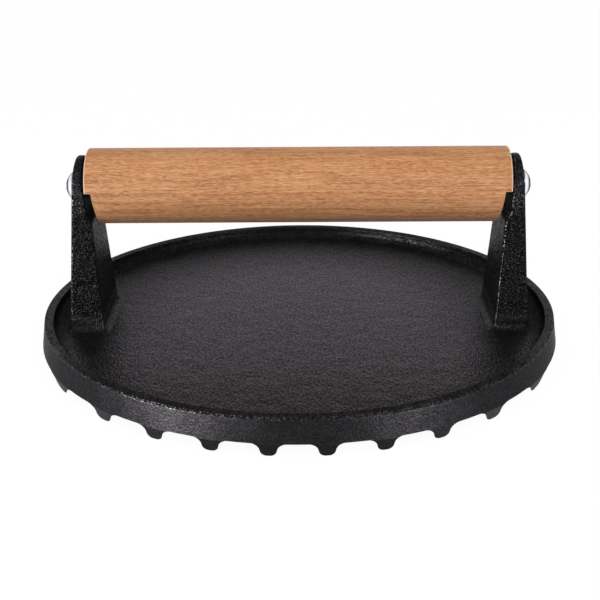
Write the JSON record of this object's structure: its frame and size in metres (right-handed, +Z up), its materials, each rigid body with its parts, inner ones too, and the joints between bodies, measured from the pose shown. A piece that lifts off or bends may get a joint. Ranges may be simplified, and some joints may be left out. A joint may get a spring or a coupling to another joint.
{
  "type": "burger press",
  "caption": "Round cast-iron burger press with a ribbed underside, a low rim and two upright posts that carry a wooden grip clamped by a screw at each end.",
  "frame": {"origin": "middle of the underside, at the level of the rib tips that the press stands on", "axes": "+Z up, X along the grip, -Y towards the picture's camera; the ribs run along Y"},
  "size_m": [0.1824, 0.1822, 0.0694],
  "materials": {
    "cast_iron": "black seasoned sand-cast iron, fine pebble",
    "beech": "sanded beech with a clear satin oil",
    "steel": "turned, zinc plated",
    "plated_steel": "bright plated"
  },
  "bodies": {
    "root": {"cast_body": "cast_iron", "grip": "beech", "tie_rod": "steel", "screw_left": "plated_steel", "screw_right": "plated_steel"}
  },
  "joints": []
}
